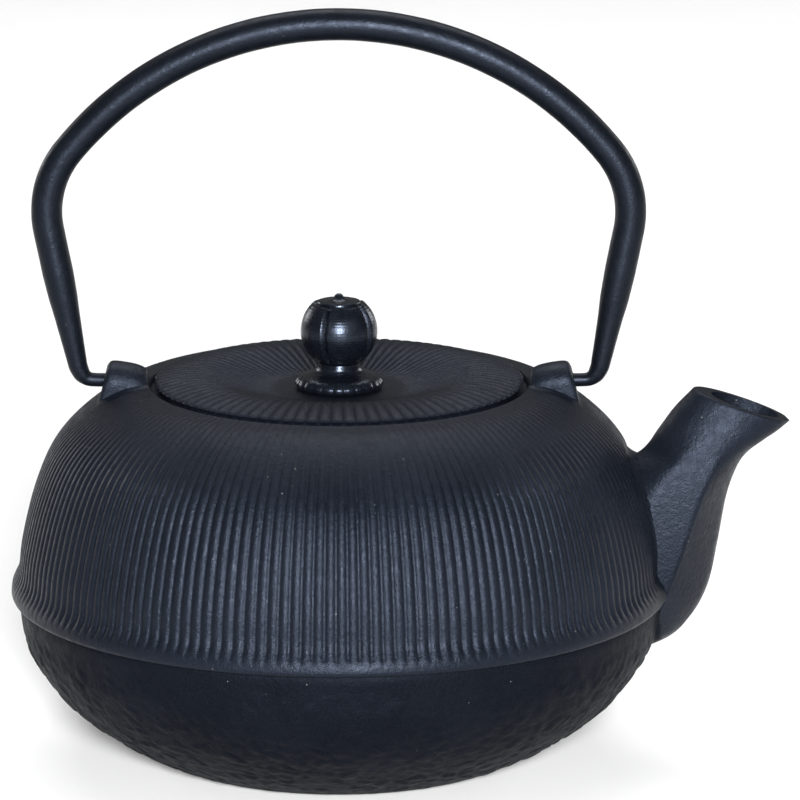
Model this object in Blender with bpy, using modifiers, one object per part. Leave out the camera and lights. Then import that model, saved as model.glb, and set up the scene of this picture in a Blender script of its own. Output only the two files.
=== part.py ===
"""Cast-iron teapot with a swinging bail handle, a lift-off lid and a lift-out infuser basket.

Metres, +Z up. The origin is the centre of the foot, on the surface the pot stands on.
+X points to the spout. The bail stands upright and turns about the X axis line at EAR_HOLE_Z.
"""
import math

import bmesh
import bpy
from mathutils import Vector

MM = 0.001
GAP = 0.3                   # clearance kept between pieces that touch, mm

# All driving dimensions are in millimetres.
# Vessel
TURN_STEPS = 48
FOOT_R = 42.0
RIM_R = 49.0
RIM_Z = 97.0
SHOULDER = [(57.0, 95.1), (66.0, 89.4), (73.6, 81.1), (78.5, 69.9), (81.8, 57.0), (82.7, 49.6)]
GIRDLE = [(83.9, 46.9), (84.7, 45.4), (85.0, 44.2), (85.0, 42.4), (84.5, 41.4), (83.1, 40.6)]
BOWL = [(83.0, 39.4), (80.8, 28.5), (73.0, 17.1), (62.3, 8.4), (53.2, 3.0), (47.2, 0.5)]
LID_SEAT_R = 48.6
LID_SEAT_Z = 95.4
BASKET_SEAT_R = 45.5
BASKET_SEAT_Z = 94.2
THROAT_R = 42.6
THROAT_Z = 91.2
CAVITY = [(54.0, 90.4), (63.5, 85.0), (70.0, 77.8), (74.5, 68.0), (77.6, 56.0), (78.5, 45.0),
          (76.2, 29.6), (69.0, 19.4), (59.0, 11.6), (48.0, 7.2)]
FLOOR_R = 38.0
FLOOR_Z = 5.4
CUT_PAST = 8.0              # how far a cutter runs past the surface it opens

# Spout: back edge x, z, front edge x, z, and half-width of each section, from the root to the lip.
SPOUT_POINTS = 28
SPOUT_BACK_X = 66.0         # where the root's sections end, inside the vessel
SPOUT = [
    (SPOUT_BACK_X, 26.5, 79.0, 26.5, 5.0),
    (SPOUT_BACK_X, 30.5, 87.0, 30.5, 9.4),
    (SPOUT_BACK_X, 36.0, 92.2, 36.0, 12.0),
    (SPOUT_BACK_X, 44.0, 95.9, 44.0, 13.4),
    (SPOUT_BACK_X, 55.0, 98.1, 55.0, 13.5),
    (SPOUT_BACK_X, 67.0, 100.2, 67.0, 12.8),
    (72.5, 75.2, 103.2, 74.6, 11.8),
    (78.8, 79.6, 106.2, 78.6, 10.8),
    (82.5, 84.6, 110.8, 82.0, 9.8),
    (86.5, 90.2, 114.0, 84.9, 8.9),
    (91.2, 95.6, 116.5, 87.9, 8.3),
]
CHANNEL = [
    (SPOUT_BACK_X, 38.0, 88.6, 38.0, 7.4),
    (SPOUT_BACK_X, 45.0, 92.0, 45.0, 9.4),
    (SPOUT_BACK_X, 58.0, 95.2, 58.0, 9.8),
    (SPOUT_BACK_X, 67.5, 97.2, 67.2, 9.2),
    (78.6, 76.6, 100.6, 75.6, 8.2),
    (87.2, 83.8, 107.0, 80.6, 7.2),
    (92.6, 89.6, 111.6, 84.8, 6.4),
    (96.0, 94.1, 114.4, 88.5, 6.1),
    (97.5, 98.9, 115.9, 93.3, 6.1),
]

# Ears that carry the bail: distance from the pot's axis at the hole's height, top z, half-width
# and outward lean of each section.
EAR_OUT = 60.6
EAR_BASE_Z = 90.0
EAR_CROWN = 0.85            # height of the arch on top, as a share of the half-width
EAR = [
    (48.4, 98.6, 3.6, 0.0),
    (49.4, 100.2, 4.8, 0.0),
    (51.4, 101.3, 5.6, 0.0),
    (54.4, 102.1, 6.0, 0.05),
    (58.2, 102.5, 6.0, 0.15),
    (60.0, 102.2, 5.7, 0.22),
    (EAR_OUT, 101.2, 5.2, 0.24),
]
EAR_HOLE_R = 2.05
EAR_HOLE_Z = 97.6
EAR_HOLE_END = 51.8         # the blind hole's inner end

# Bail: a crown arc, a tighter bend on each shoulder and two straight legs that lean inwards.
CROWN_Z = 190.3
CROWN_R = 89.2
SHOULDER_R = 25.0
SHOULDER_START = math.radians(50.8)
LEG_LEAN = math.radians(11.2)
LEG_END_Z = 101.2
ELBOW = [(0.28, 0.55), (0.75, 0.92), (1.3, 1.0)]    # steps in and down, as shares of its drop
BAIL_R = 4.1
ANKLE_R = 2.45              # radius at the foot of a leg
TAPER_Z = 127.0             # the legs thin out below this height
PIN_R = 1.7
PIN_END = 52.6

# Lid
LID_R = 47.9
LID_TOP = [(14.0, 95.5), (21.0, 96.2), (28.0, 98.1), (34.0, 99.6), (39.0, 99.8), (44.0, 99.0)]
LID_CENTRE_Z = 95.4
LID_EDGE_Z = 98.0
LID_CHAMFER = 0.4
LID_UNDER_Z = LID_SEAT_Z + GAP
LID_BORE_R = 2.2
SKIRT_OUT_R = 37.4
SKIRT_IN_R = 34.4
SKIRT_Z = 89.6
LID_UNDERSIDE = [(27.0, 94.7), (20.0, 93.1), (13.0, 92.4)]
LID_BELLY_Z = 92.4

# Knob, its petalled seat and the screw that holds them from inside the lid
SEAT_R = 11.4
SEAT_PETALS = 24
PETAL_DEPTH = 0.4
SEAT_EDGE = [(0.0, 0.3), (0.4, 0.0), (2.2, 0.0), (2.7, 0.5)]    # height and inset of each ring
SEAT_Z = LID_CENTRE_Z + GAP
SEAT_NECK = [(10.6, 2.8), (8.4, 3.2), (6.5, 3.9), (5.5, 5.0), (5.35, 6.6)]
SEAT_NECK_ROOT = 1.0        # the neck starts this far inside the disc
SEAT_BORE_R = 2.1
KNOB_R = 9.9
KNOB_Z = 110.9
KNOB_FOOT_Z = SEAT_Z + SEAT_NECK[-1][1] + GAP
KNOB_FLAT_Z = 118.0         # the ball is cut flat here, under its cap
KNOB_LOBES = 5
KNOB_GROOVE = 0.5
KNOB_LOBE_TURN = math.radians(-2.0)
KNOB_BORE_R = 2.0
KNOB_BORE_TOP = 109.0
CAP_ROOT_Z = 116.5          # the cap and the nib start here, inside the ball
CAP = [(0.0, 118.5), (5.55, 118.5), (5.85, 118.25), (5.85, CAP_ROOT_Z), (0.0, CAP_ROOT_Z)]
NIB = [(0.0, 120.5), (0.75, 120.35), (1.35, 119.7), (1.7, 118.7), (1.7, CAP_ROOT_Z), (0.0, CAP_ROOT_Z)]
WASHER_R = 4.6
WASHER_THICK = 0.8
SCREW_R = 1.65
SCREW_HEAD_R = 3.4
SCREW_HEAD = 2.2
SCREW_HEAD_CHAMFER = 0.9
SCREW_TOP_Z = 108.0
SCREW_TIP = 0.5
SLOT_WIDTH = 0.9
SLOT_DEPTH = 1.0

# Infuser basket
BASKET_FLANGE_R = 45.2
BASKET_FLANGE_TOP = 95.3
BASKET_SHEET = 0.8
COLLAR_OUT_R = 41.0
COLLAR_Z = 86.0
MESH_OUT_R = 39.8
MESH_THICK = 0.7
MESH_TOP_Z = 94.0
MESH_BOTTOM_Z = 38.9
BAND_OUT_R = 41.0
BAND_TOP_Z = 44.0
BAND_BOTTOM_Z = 37.0
BAND_LIP_R = 36.4
MESH_FLOOR_R = 38.6
MESH_FLOOR_Z = 38.1
MESH_FLOOR_THICK = 0.5


def make_collection(name):
    collection = bpy.data.collections.new(name)
    bpy.context.scene.collection.children.link(collection)
    return collection


def clear_scene():
    for old in list(bpy.context.scene.objects):
        bpy.data.objects.remove(old)


def make_material(name, colour, roughness, metallic):
    material = bpy.data.materials.new(name)
    material.use_nodes = True
    shader = material.node_tree.nodes["Principled BSDF"]
    shader.inputs["Base Color"].default_value = (*colour, 1.0)
    shader.inputs["Roughness"].default_value = roughness
    shader.inputs["Metallic"].default_value = metallic
    material.diffuse_color = (*colour, 1.0)
    return material


def in_metres(*values):
    return tuple(value * MM for value in values)


def add_object(name, mesh, collection, material=None):
    """Wrap a mesh in an object, smooth where its faces meet gently."""
    mesh.shade_smooth()
    mesh.set_sharp_from_angle(angle=math.radians(32.0))
    thing = bpy.data.objects.new(name, mesh)
    collection.objects.link(thing)
    if material:
        mesh.materials.append(material)
    return thing


def hide_cutter(thing):
    thing.hide_render = True
    thing.display_type = "WIRE"
    return thing


def smooth_line(points, per_span=3):
    """Points on a Catmull-Rom curve through the given (r, z) points."""
    knots = [Vector(p) for p in points]
    knots = [2 * knots[0] - knots[1]] + knots + [2 * knots[-1] - knots[-2]]
    line = []
    for a, b, c, d in zip(knots, knots[1:], knots[2:], knots[3:]):
        for step in range(per_span):
            t = step / per_span
            point = 0.5 * (2 * b + (c - a) * t + (2 * a - 5 * b + 4 * c - d) * t ** 2
                           + (3 * b - a - 3 * c + d) * t ** 3)
            line.append(tuple(point))
    line.append(tuple(knots[-2]))
    return line


def turned(name, profile, collection, material=None, steps=TURN_STEPS, ring=False):
    """Turn an (r, z) profile about Z. It runs from the top down the outer side."""
    mesh = bpy.data.meshes.new(name)
    count = len(profile)
    edges = [(i, i + 1) for i in range(count - 1)]
    if ring:
        edges.append((count - 1, 0))
    mesh.from_pydata([in_metres(r, 0.0, z) for r, z in profile], edges, [])
    thing = add_object(name, mesh, collection, material)
    screw = thing.modifiers.new("Turn", "SCREW")
    screw.axis = "Z"
    screw.steps = steps
    screw.render_steps = steps
    screw.use_merge_vertices = True
    screw.merge_threshold = 0.00001
    screw.use_normal_calculate = not ring
    return thing


def boolean(target, other, operation):
    modifier = target.modifiers.new(other.name, "BOOLEAN")
    modifier.operation = operation
    modifier.object = other
    hide_cutter(other)


def unite(target, other):
    boolean(target, other, "UNION")


def cut(target, other):
    boolean(target, other, "DIFFERENCE")


def rod(name, radius, start, end, collection, sides=24):
    """A cylinder between two points given in mm."""
    a = Vector(in_metres(*start))
    b = Vector(in_metres(*end))
    shape = bmesh.new()
    bmesh.ops.create_cone(shape, cap_ends=True, segments=sides, radius1=radius * MM,
                          radius2=radius * MM, depth=(b - a).length)
    mesh = bpy.data.meshes.new(name)
    shape.to_mesh(mesh)
    shape.free()
    thing = add_object(name, mesh, collection)
    thing.location = (a + b) / 2
    thing.rotation_euler = (b - a).to_track_quat("Z", "Y").to_euler()
    return thing


def loft(name, sections, collection, material=None):
    """A closed skin through rings of points with equal counts, given in mm."""
    shape = bmesh.new()
    rings = [[shape.verts.new(in_metres(*p)) for p in section] for section in sections]
    for ring, after in zip(rings, rings[1:]):
        for i in range(len(ring)):
            j = (i + 1) % len(ring)
            shape.faces.new((ring[i], ring[j], after[j], after[i]))
    shape.faces.new(rings[0])
    shape.faces.new(rings[-1])
    bmesh.ops.recalc_face_normals(shape, faces=shape.faces)
    mesh = bpy.data.meshes.new(name)
    shape.to_mesh(mesh)
    shape.free()
    return add_object(name, mesh, collection, material)


def egg_section(back_x, back_z, front_x, front_z, half_width, points=SPOUT_POINTS):
    """A spout section: widest near the middle, with a slightly fuller back than front."""
    back = Vector((back_x, 0.0, back_z))
    front = Vector((front_x, 0.0, front_z))
    ring = []
    for i in range(points):
        angle = 2 * math.pi * i / points
        along = 0.5 - 0.5 * math.cos(angle)
        side = half_width * math.copysign(abs(math.sin(angle)) ** 0.9, math.sin(angle))
        point = back.lerp(front, along)
        ring.append((point.x, side, point.z))
    return ring


def spout_sections(rows):
    return [egg_section(*row) for row in rows]


def vessel_profile():
    upper = smooth_line([(RIM_R, RIM_Z)] + SHOULDER, 2)
    lower = smooth_line(BOWL + [(FOOT_R, 0.0)], 2)
    return [(0.0, RIM_Z)] + upper + GIRDLE + lower + [(0.0, 0.0)]


def cavity_profile():
    steps_down = [
        (0.0, RIM_Z + CUT_PAST),
        (LID_SEAT_R, RIM_Z + CUT_PAST),
        (LID_SEAT_R, LID_SEAT_Z),
        (BASKET_SEAT_R, LID_SEAT_Z),
        (BASKET_SEAT_R, BASKET_SEAT_Z),
        (THROAT_R, BASKET_SEAT_Z),
    ]
    hollow = [(THROAT_R, THROAT_Z)] + CAVITY + [(FLOOR_R, FLOOR_Z)]
    return steps_down + hollow + [(0.0, FLOOR_Z)]


def ear_section(x, top_z, half_width, lean, side, points=12):
    """An arch across an ear: straight below, rounded on top, and further out towards its foot."""
    rise = EAR_CROWN * half_width
    outline = [(-half_width, EAR_BASE_Z)]
    for i in range(points + 1):
        angle = math.pi * (1 - i / points)
        outline.append((half_width * math.cos(angle), top_z - rise + rise * math.sin(angle)))
    outline.append((half_width, EAR_BASE_Z))
    return [(side * (x - lean * (z - EAR_HOLE_Z)), y, z) for y, z in outline]


def make_pot_body(parts, cutters, material):
    """Vessel, girdle, spout and ears in one casting."""
    body = turned("pot_body", vessel_profile(), parts, material)
    unite(body, loft("spout_skin", spout_sections(SPOUT), cutters))
    for side, label in ((-1, "left"), (1, "right")):
        sections = [ear_section(*row, side) for row in EAR]
        unite(body, loft("ear_" + label, sections, cutters))
    cut(body, turned("cavity", cavity_profile(), cutters))
    cut(body, loft("spout_channel", spout_sections(CHANNEL), cutters))
    for side, label in ((-1, "left"), (1, "right")):
        start = (side * EAR_HOLE_END, 0.0, EAR_HOLE_Z)
        end = (side * (EAR_OUT + CUT_PAST), 0.0, EAR_HOLE_Z)
        cut(body, rod("ear_hole_" + label, EAR_HOLE_R, start, end, cutters))
    return body


def arc_points(centre, radius, start, end, count):
    """Points on an arc in the XZ plane; angles are from +Z towards +X."""
    points = []
    for i in range(count):
        angle = start + (end - start) * i / (count - 1)
        points.append((centre[0] + radius * math.sin(angle), centre[1] + radius * math.cos(angle)))
    return points


def bail_half():
    """Centreline (x, z) of one half, from the crown down to the pin's end."""
    crown_centre = (0.0, CROWN_Z - CROWN_R)
    reach = CROWN_R - SHOULDER_R
    shoulder_centre = (reach * math.sin(SHOULDER_START), crown_centre[1] + reach * math.cos(SHOULDER_START))
    line = arc_points(crown_centre, CROWN_R, 0.0, SHOULDER_START, 11)
    line += arc_points(shoulder_centre, SHOULDER_R, SHOULDER_START, math.pi / 2 + LEG_LEAN, 7)[1:]
    top_x, top_z = line[-1]
    for i in range(1, 7):
        z = top_z + (LEG_END_Z - top_z) * i / 6
        line.append((top_x - (top_z - z) * math.tan(LEG_LEAN), z))
    elbow_x, elbow_z = line[-1]
    drop = elbow_z - EAR_HOLE_Z
    line += [(elbow_x - inward * drop, elbow_z - down * drop) for inward, down in ELBOW]
    line.append((PIN_END, EAR_HOLE_Z))
    return line


def bail_radius(x, z):
    if z > TAPER_Z:
        return BAIL_R
    if z >= LEG_END_Z:
        part = (z - LEG_END_Z) / (TAPER_Z - LEG_END_Z)
        return ANKLE_R + (BAIL_R - ANKLE_R) * part ** 0.9
    if z > EAR_HOLE_Z + 0.01:
        part = (z - EAR_HOLE_Z) / (LEG_END_Z - EAR_HOLE_Z)
        return PIN_R + (ANKLE_R - PIN_R) * part ** 0.35
    return PIN_R


def make_bail(parts, material):
    """The bail's curve, with its origin on the pivot line."""
    half = bail_half()
    line = [(-x, z) for x, z in reversed(half)] + half[1:]
    curve = bpy.data.curves.new("bail_handle", "CURVE")
    curve.dimensions = "3D"
    curve.twist_mode = "MINIMUM"
    curve.bevel_depth = MM
    curve.bevel_resolution = 4
    curve.use_fill_caps = True
    spline = curve.splines.new("POLY")
    spline.points.add(len(line) - 1)
    for point, (x, z) in zip(spline.points, line):
        point.co = (*in_metres(x, 0.0, z - EAR_HOLE_Z), 1.0)
        point.radius = bail_radius(x, z)
    spline.use_smooth = True
    curve.materials.append(material)
    bail = bpy.data.objects.new("bail_handle", curve)
    parts.objects.link(bail)
    return bail


def lid_profile():
    rim = (LID_R - LID_CHAMFER, LID_EDGE_Z)
    top = smooth_line([(LID_BORE_R, LID_CENTRE_Z)] + LID_TOP + [rim], 2)
    edge = [
        (LID_R, LID_EDGE_Z - LID_CHAMFER),
        (LID_R, LID_UNDER_Z + LID_CHAMFER),
        (LID_R - LID_CHAMFER, LID_UNDER_Z),
    ]
    skirt = [
        (SKIRT_OUT_R, LID_UNDER_Z),
        (SKIRT_OUT_R, SKIRT_Z),
        (SKIRT_IN_R, SKIRT_Z),
        (SKIRT_IN_R, LID_UNDER_Z - GAP),
    ]
    belly = LID_UNDERSIDE + [(LID_BORE_R, LID_BELLY_Z)]
    return top + edge + skirt + belly


def make_lid(parts, material):
    return turned("lid", lid_profile(), parts, material, ring=True)


def petal_radius(angle):
    return SEAT_R + PETAL_DEPTH * (abs(math.cos(SEAT_PETALS * angle / 2)) - 1.0)


def make_knob_seat(parts, cutters, material):
    """A disc with a petalled edge that sweeps up into a neck under the knob."""
    steps = 4 * SEAT_PETALS
    angles = [2 * math.pi * i / steps for i in range(steps)]
    rings = []
    for height, inset in SEAT_EDGE:
        radii = [petal_radius(angle) - inset for angle in angles]
        rings.append([(r * math.cos(a), r * math.sin(a), SEAT_Z + height) for r, a in zip(radii, angles)])
    seat = loft("knob_seat", rings, parts, material)
    neck = [(r, SEAT_Z + height) for r, height in reversed(SEAT_NECK)]
    foot = SEAT_Z + SEAT_NECK_ROOT
    neck = [(0.0, neck[0][1])] + neck + [(SEAT_NECK[0][0], foot), (0.0, foot)]
    unite(seat, turned("seat_neck", neck, cutters, steps=32))
    bore_end = (0, 0, SEAT_Z + SEAT_NECK[-1][1] + CUT_PAST)
    cut(seat, rod("seat_bore", SEAT_BORE_R, (0, 0, SEAT_Z - CUT_PAST), bore_end, cutters))
    return seat


def groove_depth(angle):
    """How far the knob's skin is pulled in at an angle about Z."""
    phase = KNOB_LOBES * (angle - KNOB_LOBE_TURN) / 2
    return KNOB_GROOVE * (1.0 - abs(math.cos(phase))) ** 2


def ball_mesh():
    """A bud-shaped ball about the origin: its grooves fade out towards its poles."""
    shape = bmesh.new()
    bmesh.ops.create_uvsphere(shape, u_segments=40, v_segments=16, radius=KNOB_R * MM)
    for vert in shape.verts:
        pull = groove_depth(math.atan2(vert.co.y, vert.co.x)) / KNOB_R
        fade = 1.0 - (vert.co.z / (KNOB_R * MM)) ** 2
        vert.co.x *= 1.0 - pull * fade
        vert.co.y *= 1.0 - pull * fade
    for height, side in ((KNOB_FLAT_Z, 1), (KNOB_FOOT_Z, -1)):
        cut_plane = {"plane_co": (0, 0, (height - KNOB_Z) * MM), "plane_no": (0, 0, side)}
        whole = shape.verts[:] + shape.edges[:] + shape.faces[:]
        sliced = bmesh.ops.bisect_plane(shape, geom=whole, clear_outer=True, **cut_plane)
        rim = [part for part in sliced["geom_cut"] if isinstance(part, bmesh.types.BMEdge)]
        bmesh.ops.edgeloop_fill(shape, edges=rim)
    bmesh.ops.recalc_face_normals(shape, faces=shape.faces)
    mesh = bpy.data.meshes.new("knob")
    shape.to_mesh(mesh)
    shape.free()
    return mesh


def make_knob(parts, cutters, material):
    """A ball cut flat top and bottom, with a thin cap and a nib."""
    knob = add_object("knob", ball_mesh(), parts, material)
    knob.location.z = KNOB_Z * MM
    unite(knob, turned("knob_cap", CAP, cutters, steps=32))
    unite(knob, turned("knob_nib", NIB, cutters, steps=16))
    bore_start = (0, 0, KNOB_FOOT_Z - CUT_PAST)
    cut(knob, rod("knob_bore", KNOB_BORE_R, bore_start, (0, 0, KNOB_BORE_TOP), cutters))
    return knob


def make_screw_washer(parts, material):
    top = LID_BELLY_Z - GAP
    bottom = top - WASHER_THICK
    profile = [(LID_BORE_R, top), (WASHER_R, top), (WASHER_R, bottom), (LID_BORE_R, bottom)]
    return turned("screw_washer", profile, parts, material, steps=32, ring=True)


def make_knob_screw(parts, cutters, material):
    """A slotted pan-head screw that comes up through the lid into the knob."""
    head_top = LID_BELLY_Z - WASHER_THICK - 2 * GAP
    head_bottom = head_top - SCREW_HEAD
    profile = [
        (0.0, SCREW_TOP_Z),
        (SCREW_R - SCREW_TIP, SCREW_TOP_Z),
        (SCREW_R, SCREW_TOP_Z - SCREW_TIP),
        (SCREW_R, head_top),
        (SCREW_HEAD_R, head_top),
        (SCREW_HEAD_R, head_bottom + SCREW_HEAD_CHAMFER),
        (SCREW_HEAD_R - SCREW_HEAD_CHAMFER, head_bottom),
        (0.0, head_bottom),
    ]
    screw = turned("knob_screw", profile, parts, material, steps=24)
    shape = bmesh.new()
    bmesh.ops.create_cube(shape, size=1.0)
    size = in_metres(3 * SCREW_HEAD_R, SLOT_WIDTH, 2 * SLOT_DEPTH)
    bmesh.ops.scale(shape, verts=shape.verts, vec=size)
    mesh = bpy.data.meshes.new("screw_slot")
    shape.to_mesh(mesh)
    shape.free()
    slot = add_object("screw_slot", mesh, cutters)
    slot.location.z = head_bottom * MM
    cut(screw, slot)
    return screw


def make_infuser_rim(parts, material):
    """A flange that hangs in the mouth, with a collar that grips the mesh."""
    under = BASKET_FLANGE_TOP - BASKET_SHEET
    collar_in = COLLAR_OUT_R - BASKET_SHEET
    profile = [(collar_in, BASKET_FLANGE_TOP), (BASKET_FLANGE_R, BASKET_FLANGE_TOP),
               (BASKET_FLANGE_R, under), (COLLAR_OUT_R, under), (COLLAR_OUT_R, COLLAR_Z),
               (collar_in, COLLAR_Z)]
    return turned("infuser_rim", profile, parts, material, ring=True)


def make_infuser_wall(parts, material):
    """A thin sleeve with the size of the woven mesh wall."""
    inner = MESH_OUT_R - MESH_THICK
    profile = [(inner, MESH_TOP_Z), (MESH_OUT_R, MESH_TOP_Z), (MESH_OUT_R, MESH_BOTTOM_Z),
               (inner, MESH_BOTTOM_Z)]
    return turned("infuser_wall", profile, parts, material, ring=True)


def make_infuser_band(parts, material):
    """The crimped band that joins the wall to the floor."""
    wall_in = BAND_OUT_R - BASKET_SHEET
    profile = [(wall_in, BAND_TOP_Z), (BAND_OUT_R, BAND_TOP_Z), (BAND_OUT_R, BAND_BOTTOM_Z),
               (BAND_LIP_R, BAND_BOTTOM_Z), (BAND_LIP_R, BAND_BOTTOM_Z + BASKET_SHEET),
               (wall_in, BAND_BOTTOM_Z + BASKET_SHEET)]
    return turned("infuser_band", profile, parts, material, ring=True)


def make_infuser_floor(parts, material):
    """A thin disc with the size of the mesh floor."""
    shape = bmesh.new()
    bmesh.ops.create_cone(shape, cap_ends=True, segments=TURN_STEPS, radius1=MESH_FLOOR_R * MM,
                          radius2=MESH_FLOOR_R * MM, depth=MESH_FLOOR_THICK * MM)
    mesh = bpy.data.meshes.new("infuser_floor")
    shape.to_mesh(mesh)
    shape.free()
    floor = add_object("infuser_floor", mesh, parts, material)
    floor.location.z = (MESH_FLOOR_Z + MESH_FLOOR_THICK / 2) * MM
    return floor


def add_pivot(name, location, parts):
    """An empty on a joint's axis, which carries the pieces of one moving body."""
    pivot = bpy.data.objects.new(name, None)
    pivot.location = in_metres(*location)
    pivot.empty_display_size = 0.01
    parts.objects.link(pivot)
    return pivot


def build():
    clear_scene()
    parts = make_collection("teapot")
    cutters = make_collection("teapot_cutters")
    iron = make_material("cast_iron_enamel", (0.021, 0.024, 0.031), 0.55, 0.0)
    smooth_iron = make_material("bail_iron", (0.012, 0.014, 0.019), 0.38, 0.0)
    knob_iron = make_material("knob_iron", (0.014, 0.016, 0.022), 0.34, 0.0)
    steel = make_material("stainless_steel", (0.60, 0.60, 0.59), 0.28, 1.0)
    make_pot_body(parts, cutters, iron)
    make_bail(parts, smooth_iron).parent = add_pivot("bail_pivot", (0, 0, EAR_HOLE_Z), parts)
    basket_pieces = [
        make_infuser_rim(parts, steel),
        make_infuser_wall(parts, steel),
        make_infuser_band(parts, steel),
        make_infuser_floor(parts, steel),
    ]
    lid_pieces = [
        make_lid(parts, iron),
        make_knob_seat(parts, cutters, knob_iron),
        make_knob(parts, cutters, knob_iron),
        make_screw_washer(parts, steel),
        make_knob_screw(parts, cutters, steel),
    ]
    basket_slide = add_pivot("infuser_slide", (0, 0, 0), parts)
    lid_slide = add_pivot("lid_slide", (0, 0, 0), parts)
    lid_slide.parent = basket_slide
    for piece in basket_pieces:
        piece.parent = basket_slide
    for piece in lid_pieces:
        piece.parent = lid_slide


build()
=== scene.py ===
import math

import bmesh
import bpy
import numpy as np
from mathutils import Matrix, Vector, noise
from mathutils.bvhtree import BVHTree


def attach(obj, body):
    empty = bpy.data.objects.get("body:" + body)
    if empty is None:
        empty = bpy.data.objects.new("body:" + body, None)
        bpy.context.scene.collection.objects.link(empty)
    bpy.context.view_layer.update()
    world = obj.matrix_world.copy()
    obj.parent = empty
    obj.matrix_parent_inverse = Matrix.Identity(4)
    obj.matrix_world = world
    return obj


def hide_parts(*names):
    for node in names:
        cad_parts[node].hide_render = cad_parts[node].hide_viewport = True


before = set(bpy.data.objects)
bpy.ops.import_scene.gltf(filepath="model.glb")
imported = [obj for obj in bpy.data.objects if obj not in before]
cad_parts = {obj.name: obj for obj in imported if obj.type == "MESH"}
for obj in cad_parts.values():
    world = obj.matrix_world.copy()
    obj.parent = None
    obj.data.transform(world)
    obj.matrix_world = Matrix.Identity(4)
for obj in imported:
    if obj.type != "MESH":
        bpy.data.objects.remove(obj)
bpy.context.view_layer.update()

MM = 0.001

# Every size below is in millimetres. The main sizes follow those of the solids, mostly to within a
# millimetre; the ribs, flutes, creases, pebbles and woven wires are only in this file. Names that end in
# ROWS or COLUMNS say how a skin's points are laid out, down it and round it.
RIM_R = 49.0
RIM_Z = 97.0
SHOULDER = [(RIM_R, RIM_Z), (57.0, 95.1), (66.0, 89.5), (73.7, 81.3), (78.7, 70.0), (82.0, 57.0),
            (82.9, 50.0), (83.4, 47.9), (84.3, 46.1), (84.85, 44.8)]
GIRDLE = [(85.02, 43.7), (85.08, 42.9), (84.95, 42.35), (84.5, 41.95), (83.6, 41.7), (82.0, 41.5)]
BOWL = [(83.0, 41.0), (82.9, 38.4), (80.8, 28.5), (73.0, 17.1), (62.3, 8.4), (53.2, 3.0), (47.2, 0.5),
        (42.0, 0.0)]
RIB_COUNT = 180
RIB_COLUMNS = (0.0, 0.15, 0.27, 0.5, 0.73, 0.85)    # where the skin's columns lie across one rib
RIB_DEPTH = 0.46
RIB_DEPTH_AT_RIM = 0.05
RIB_FULL_Z = 82.0
RIB_FOOT_Z = 45.3
SHOULDER_ROWS = 52
GIRDLE_ROWS = 10
NOISE_SEED = 7  # without one, noise_vector takes its offsets from the clock
PLATE_SIZE = 4.6            # the bowl's cast pebbles
PLATE_SMOOTH_Z = 40.0       # they fade out between here and PLATE_FULL_Z
PLATE_FULL_Z = 33.0
PLATE_HEIGHT = 0.30
PLATE_STEP = 0.16           # most difference in height from plate to plate
PLATE_ROUGH = 0.10
PLATE_SINK = 0.26
BOWL_ROWS = 78
BOWL_COLUMNS = 560
BOWL_TOP_Z = 41.45          # the duller cast of the bowl, its colour darkened as painted shade, lies below this and within BOWL_R
BOWL_R = 83.6

# The stepped mouth and the cavity under it.
SEAT_WALL_R = 48.6
SEAT_WALL_Z = 95.4
BASKET_WALL_R = 45.5
BASKET_WALL_Z = 94.2
THROAT_R = 42.6
THROAT_Z = 91.2
CUT_TOP_Z = 106.0
CAVITY = [(54.0, 90.4), (63.5, 85.0), (70.0, 77.8), (74.5, 68.0), (77.6, 56.0), (78.5, 45.0),
          (76.2, 29.6), (69.0, 19.4), (59.0, 11.6), (48.0, 7.2), (38.0, 5.4)]
CAVITY_FLOOR_Z = 5.0
TURNED_COLUMNS = 160        # round the cavity and the infuser's rings

# Spout: back edge x, z, front edge x, z, half-width, place of the crease from back to front, and how
# round the nose in front of the crease is (1 is a half circle, which leaves no crease).
SPOUT_BACK_X = 66.0
SPOUT = [
    (SPOUT_BACK_X, 26.5, 79.0, 26.5, 5.0, 0.60, 0.95),
    (SPOUT_BACK_X, 30.5, 87.0, 30.5, 9.4, 0.60, 0.80),
    (SPOUT_BACK_X, 36.0, 92.2, 36.0, 12.0, 0.60, 0.50),
    (SPOUT_BACK_X, 44.0, 95.9, 44.0, 13.4, 0.63, 0.30),
    (SPOUT_BACK_X, 55.0, 98.1, 55.0, 13.5, 0.71, 0.25),
    (SPOUT_BACK_X, 67.0, 100.2, 67.0, 12.8, 0.78, 0.30),
    (72.5, 75.2, 102.8, 74.6, 11.8, 0.77, 0.50),
    (78.8, 79.6, 105.7, 79.1, 10.8, 0.70, 0.75),
    (82.5, 84.6, 110.5, 82.7, 9.8, 0.62, 0.92),
    (86.5, 90.2, 113.8, 84.8, 8.9, 0.56, 1.0),
    (91.3, 95.3, 116.3, 86.8, 8.3, 0.52, 1.0),
]
LIP_ROUND = [(0.012, 0.16), (0.035, 0.30), (0.07, 0.36)]    # shrink and rise of the lip's last rings
CHANNEL = [
    (SPOUT_BACK_X, 38.0, 88.6, 38.0, 7.4),
    (SPOUT_BACK_X, 45.0, 92.0, 45.0, 9.4),
    (SPOUT_BACK_X, 58.0, 95.2, 58.0, 9.8),
    (SPOUT_BACK_X, 67.5, 97.2, 67.2, 9.2),
    (78.6, 76.6, 99.8, 76.2, 8.2),
    (87.2, 83.8, 105.2, 81.6, 7.2),
    (92.6, 89.6, 110.6, 85.5, 6.4),
    (96.0, 94.1, 113.9, 88.6, 6.3),
    (97.5, 98.9, 115.9, 93.3, 6.6),
]
SPOUT_ROWS = 84
CHANNEL_ROWS = 60
CHANNEL_COLUMNS = 72

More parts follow.
